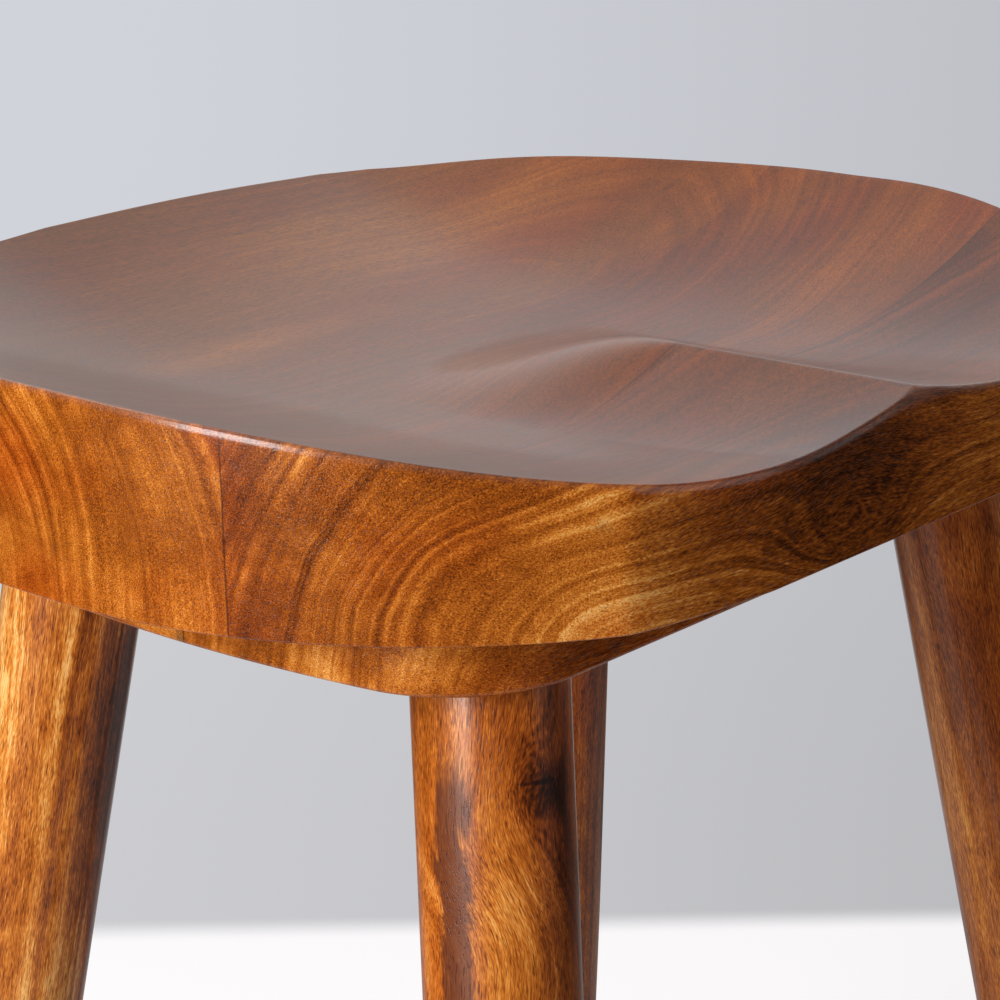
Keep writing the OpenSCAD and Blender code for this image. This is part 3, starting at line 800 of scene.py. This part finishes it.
glidePlastic = mouldedPlastic("glidePlastic", glides["plastic"])
nailSteel = zincSteel("nailSteel", zincLook)
quarter = np.linspace(0, math.pi / 2, glides["quarterRows"])
nails = []
for corner, side in corners.items():
    foot = legAt(side, glides["thickness"])
    foot[2] = 0
    points, faces = turned(*glideProfile(), foot, (0, 0, 1), glides["spokes"])
    addPiece("glide" + corner, points, faces, glidePlastic, ["glide_" + nodeEnding[corner]])
    nails.append(turned(*nailProfile(), foot, (0, 0, 1), glides["nailSpokes"]))
points, faces = joined(nails)
addPiece("glideNails", points, faces, nailSteel, ["glide_nails"])
print("glides and nails made")


# Screws up through the plate, with a cross recess in each head

screws = {
    "places": [(62, 105), (-62, 105), (62, -105), (-62, -105), (150, 10), (-150, 10)],
    "diameter": 4.5, "head": 9.0, "headEdge": 0.15, "length": 38.0, "proud": 0.15,
    "tip": 0.3, "tipRound": 0.6, "taper": 7.0,
    "crossReach": 2.4, "crossHalf": 0.55, "crossDepth": 1.9, "crossSlope": 0.2, "crossEnd": 1.2,
    "faceEdge": 0.05, "faceRows": 34, "spokes": 72,
}


def screwRings(x, y):
    # rings from the point down to the head's face, where the cross is pressed in: each point of the face
    # rises by the recess depth where it lies within a bar of the cross, with sloping sides
    angle = np.linspace(0, 2 * math.pi, screws["spokes"], endpoint=False)
    r, head, length, flat = screws["diameter"] / 2, screws["head"] / 2, screws["length"], -screws["proud"]
    outside = [screws["tip"], screws["tipRound"], r, r, r, head, head]
    levels = [length, length - screws["tipRound"], length - screws["taper"], length / 2,
              head - r, screws["headEdge"], flat]
    face = np.linspace(head - screws["faceEdge"], screws["faceEdge"], screws["faceRows"])
    radii, heights = np.concatenate([outside, face]), np.array(levels + [flat] * len(face))
    px, py = radii[:, None] * np.cos(angle), radii[:, None] * np.sin(angle)
    narrow, far = np.minimum(np.abs(px), np.abs(py)), np.maximum(np.abs(px), np.abs(py))
    slope = screws["crossSlope"]
    bar = np.clip((screws["crossHalf"] + slope - narrow) / slope, 0, 1)
    bar = bar * np.clip((screws["crossReach"] - far) / screws["crossEnd"], 0, 1)
    onFace = (np.arange(len(radii)) >= len(outside))[:, None]
    z = heights[:, None] + bar * screws["crossDepth"] * onFace
    return np.stack([px + x, py + y, z + underside], -1)


points, faces = joined([ringStack(screwRings(*place)) for place in screws["places"]])
screwSteel = zincSteel("screwSteel", zincLook)
addPiece("seatScrews", points, faces, screwSteel, ["seat_screws"], sharpAngle=30)
print("screws made")


# Wedges keep their own solids and get a finish of bare, pale wood

wedgeLook = {
    "tone": rgb(0.80, 0.64, 0.44), "darker": 0.6, "grain": (1.2, 1.2, 18.0),
    "gloss": 0.6, "glossGrain": 0.2, "relief": 0.0001,
}


def bareWood(name, look):
    # straight grain down the wedge with a little saw fuzz
    material, shader, place = newMaterial(name)
    grain = place.noise(look["grain"], 4.0, 0.6)
    colour = grain.blend(look["tone"], [c * look["darker"] for c in look["tone"]])
    feed(shader, colour, grain * look["glossGrain"] + look["gloss"], grain, look["relief"])
    return material


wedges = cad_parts["leg_wedges"]
wedges.data.materials.clear()
wedges.data.materials.append(bareWood("wedgeWood", wedgeLook))


# Backdrop, floor and lamps

studio = {
    # the way the backdrop faces, as a turn about Z in degrees, and the camera's direction
    "heading": -48.376, "onward": (0.7154, 0.6358, -0.2898),
    # backdrop: low and high tone, the heights between them, and how far it dims to the right
    "low": rgb(0.80, 0.80, 0.815), "high": rgb(0.82, 0.828, 0.855), "toneRise": (-0.42, -0.14),
    "rightShare": 0.78, "dimming": (-0.34, 0.20), "ambient": 0.20,
    # the room in gloss: tint, how it dims to the camera's side, its parts by height, and its right side
    "glossTint": (0.97, 0.96, 0.92), "mirrored": 0.02, "behind": (0.26, 0.82),
    "base": 0.12, "lower": 0.88, "lowerRise": (-0.25, -0.11),
    "upperGain": 0.72, "upperRise": (-0.16, 0.10), "upperFall": (0.86, 0.40),
    "rightGain": 0.45, "rightward": (0.0, -0.24), "grazing": (0.93, 0.985),
    # floor: tone, glow to the camera, half width and soft edge in metres; level in millimetres
    "floor": (0.5, 0.49, 0.495), "floorGlow": 1.30, "floorHalf": 1.012, "fade": 0.022, "floorLevel": -0.05,
    "lamps": [
        # name, place, aim, width, height, watts
        ("windowLeft", (-2.65, 0.0, 1.60), (-0.1, 0.0, 1.60), 1.1, 2.0, 104),
        ("overhead", (-0.7, 1.2, 2.85), (0.0, 0.0, 0.72), 1.5, 1.2, 20),
        ("fillRight", (1.4, -2.4, 1.3), (0.0, 0.0, 0.55), 1.8, 1.8, 8),
    ],
}


def turnTo(thing, right, up, back, place):
    # puts a lamp or a camera in its place, looking away from back
    rows = [[right[i], up[i], back[i], place[i]] for i in range(3)]
    thing.matrix_world = Matrix([*rows, [0, 0, 0, 1]])
    scene.collection.objects.link(thing)


heading = math.radians(studio["heading"])
leftward = (-math.cos(heading), -math.sin(heading), 0.0)
backward = (-math.sin(heading), math.cos(heading), 0.0)
world = bpy.data.worlds.new("studio")
scene.world = world
world.use_nodes = True
tree = world.node_tree
tree.nodes.clear()
start = Wire(tree)
direction = start.node("ShaderNodeTexCoord", out="Generated")
left, rise = direction.dot(leftward), direction.dot((0.0, 0.0, 1.0))
# the backdrop is paler to the left and towards its top
shade = rise.step(*studio["toneRise"]).blend(studio["low"], studio["high"])
dimming = left.step(*studio["dimming"]) * (1 - studio["rightShare"]) + studio["rightShare"]
shade = shade.vector("SCALE", dimming)
# gloss meets a pale room behind the stool, dark near the floor, palest above the horizon and to the right,
# and a dim room in front of it; along the camera's own direction, as at the edges of round legs, it meets
# the backdrop's full tone
behind = direction.dot(backward).step(*studio["behind"]) * (1 - studio["mirrored"]) + studio["mirrored"]
upper = rise.step(*studio["upperRise"]) * rise.step(*studio["upperFall"]) * studio["upperGain"]
room = upper + rise.step(*studio["lowerRise"]) * studio["lower"] + studio["base"]
room = room * (left.step(*studio["rightward"]) * studio["rightGain"] + 1.0) * behind
room = start.math("MAXIMUM", room, direction.dot(studio["onward"]).step(*studio["grazing"]))
# only camera, glossy and glass rays meet backdrop and room; all others meet an even, dim light
kinds = ("Is Camera Ray", "Is Glossy Ray", "Is Transmission Ray")
toCamera, toGloss, toGlass = (start.node("ShaderNodeLightPath", out=kind) for kind in kinds)
mirror = start.math("MAXIMUM", toGloss, toGlass)
seen = start.math("MAXIMUM", toCamera, mirror * room)
shade = toCamera.blend(studio["glossTint"], (1, 1, 1)).vector("MULTIPLY", shade)
light = start.math("MAXIMUM", toCamera, mirror).blend([studio["ambient"]] * 3, shade.vector("SCALE", seen))
background = start.node("ShaderNodeBackground", None, {"Color": light, "Strength": 1.0})
start.node("ShaderNodeOutputWorld", None, {"Surface": background})
world.cycles.sampling_method = "NONE"       # so that gloss meets what is meant for it

# the floor is a square in line with the backdrop, and fades out along its edges
half = studio["floorHalf"] + studio["fade"]
square = np.array([[-1, -1], [1, -1], [1, 1], [-1, 1]]) * half / metres
square = square @ np.array([[math.cos(heading), math.sin(heading)], [-math.sin(heading), math.cos(heading)]])
square = np.column_stack([square, np.full(4, studio["floorLevel"])])
floorMaterial = bpy.data.materials.new("floorPaint")
floorMaterial.use_nodes = True
tree = floorMaterial.node_tree
tree.nodes.clear()
start = Wire(tree)
spot = start.node("ShaderNodeTexCoord", out="Object")
away = start.math("MAXIMUM", *(start.math("ABSOLUTE", spot.dot(axis)) for axis in (leftward, backward)))
paint = start.node("ShaderNodeBsdfDiffuse", None, {"Color": (*studio["floor"], 1)})
glow = start.node("ShaderNodeLightPath", out="Is Camera Ray") * studio["floorGlow"]
glow = start.node("ShaderNodeEmission", None, {"Color": (*studio["floor"], 1), "Strength": glow})
paint = start.node("ShaderNodeAddShader", None, {0: paint, 1: glow})
clear = start.node("ShaderNodeBsdfTransparent")
edge = away.step(studio["floorHalf"] - studio["fade"], studio["floorHalf"] + studio["fade"])
mixed = start.node("ShaderNodeMixShader", None, {0: edge, 1: paint, 2: clear})
start.node("ShaderNodeOutputMaterial", None, {"Surface": mixed})
floor = addPiece("floor", square, [np.arange(4)[None, :]], floorMaterial)

for name, place, aim, width, height, watts in studio["lamps"]:
    data = bpy.data.lights.new(name, "AREA")
    data.shape, data.size, data.size_y, data.energy = "RECTANGLE", width, height, watts
    back = np.array(place) - np.array(aim)
    back = back / np.linalg.norm(back)
    side = np.cross([0, 0, 1], back)
    side = side / np.linalg.norm(side)
    turnTo(bpy.data.objects.new(name, data), side, np.cross(back, side), back, place)
print("studio lit")


# Camera, at the photograph's viewing angle

view = {
    "place": (-0.6926, -0.6012, 0.9433), "azimuth": -48.376, "elevation": 16.846, "roll": -0.976,
    "lens": 94.227, "sensor": 36.0, "near": 0.05, "far": 60.0,
}
azimuth, elevation, roll = (math.radians(view[key]) for key in ("azimuth", "elevation", "roll"))
outward = math.cos(elevation)
back = np.array([math.sin(azimuth) * outward, -math.cos(azimuth) * outward, math.sin(elevation)])
levelRight = np.array([math.cos(azimuth), math.sin(azimuth), 0.0])
levelUp = np.cross(back, levelRight)
right = levelRight * math.cos(roll) + levelUp * math.sin(roll)
up = levelUp * math.cos(roll) - levelRight * math.sin(roll)
camera = bpy.data.objects.new("camera", bpy.data.cameras.new("camera"))
camera.data.sensor_width, camera.data.lens = view["sensor"], view["lens"]
camera.data.clip_start, camera.data.clip_end = view["near"], view["far"]
turnTo(camera, right, up, back, view["place"])
scene.camera = camera
scene.view_settings.view_transform = "Standard"
